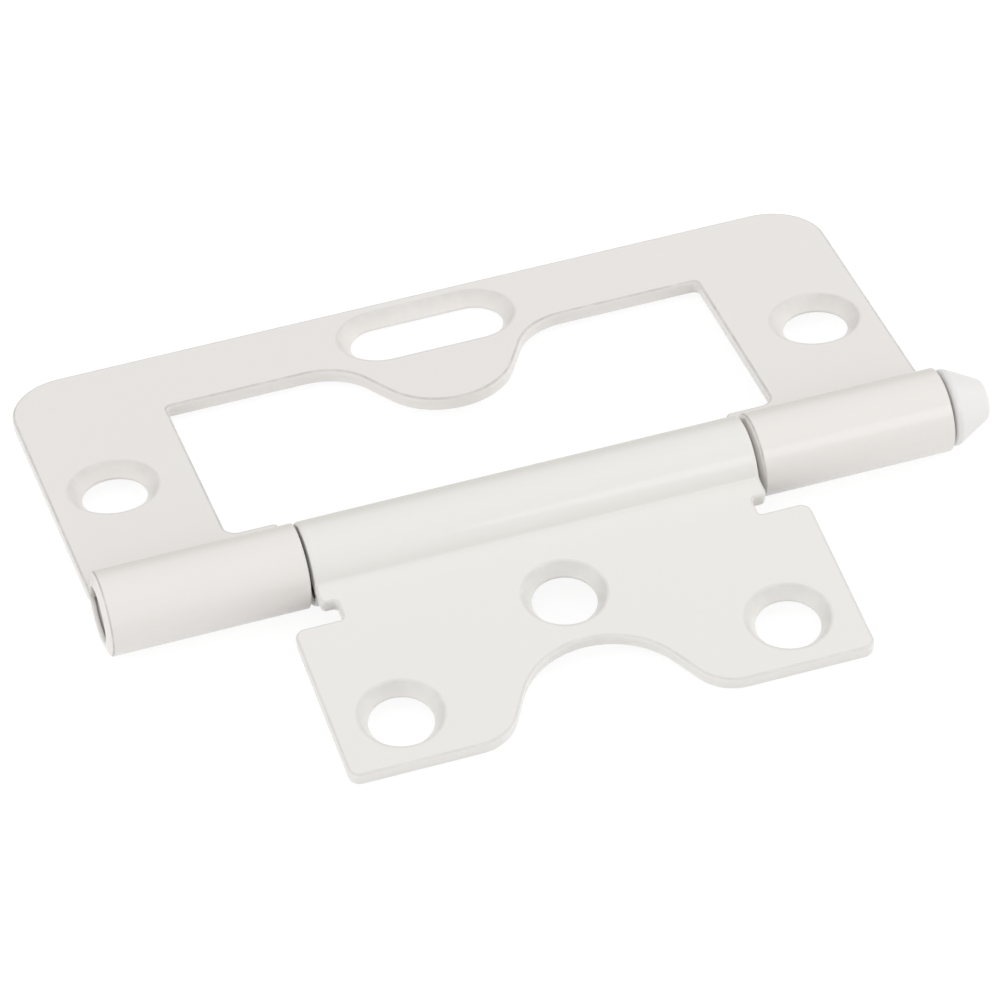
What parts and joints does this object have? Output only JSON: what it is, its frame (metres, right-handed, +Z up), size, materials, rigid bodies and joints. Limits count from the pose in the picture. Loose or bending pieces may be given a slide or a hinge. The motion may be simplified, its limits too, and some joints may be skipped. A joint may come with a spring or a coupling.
{
  "type": "non-mortise hinge",
  "caption": "Small surface-mounted door hinge of white-coated pressed steel; a leaf with a tongued window, a smaller leaf that folds into it, and a loose pin with a cone head.",
  "frame": {"origin": "on the surface that the open hinge lies on, under the middle of its whole outline", "axes": "+X along the pin towards its head, +Y square to the pin towards the outer leaf, +Z up from the surface"},
  "size_m": [0.0808, 0.06, 0.0075],
  "materials": {
    "leaf_coat": "smooth white powder coat, satin to gloss, thinner and slightly darker on the sheared edges",
    "pin_coat": "the same white coat on turned steel, glossier on the head"
  },
  "bodies": {
    "outer_leaf": {"outer_leaf": "leaf_coat"},
    "inner_leaf": {"inner_leaf": "leaf_coat"},
    "hinge_pin": {"hinge_pin": "pin_coat"}
  },
  "joints": [
    {"name": "leaf_hinge", "type": "hinge", "parent": "outer_leaf", "child": "inner_leaf", "pos_m": [-0.00226, -0.00541, 0.00373], "axis": [-1, 0, 0], "range_deg": [-77.56, 192.44]},
    {"name": "pin_slide", "type": "slide", "parent": "outer_leaf", "child": "hinge_pin", "axis": [1, 0, 0], "range_m": [0, 0.078]}
  ]
}
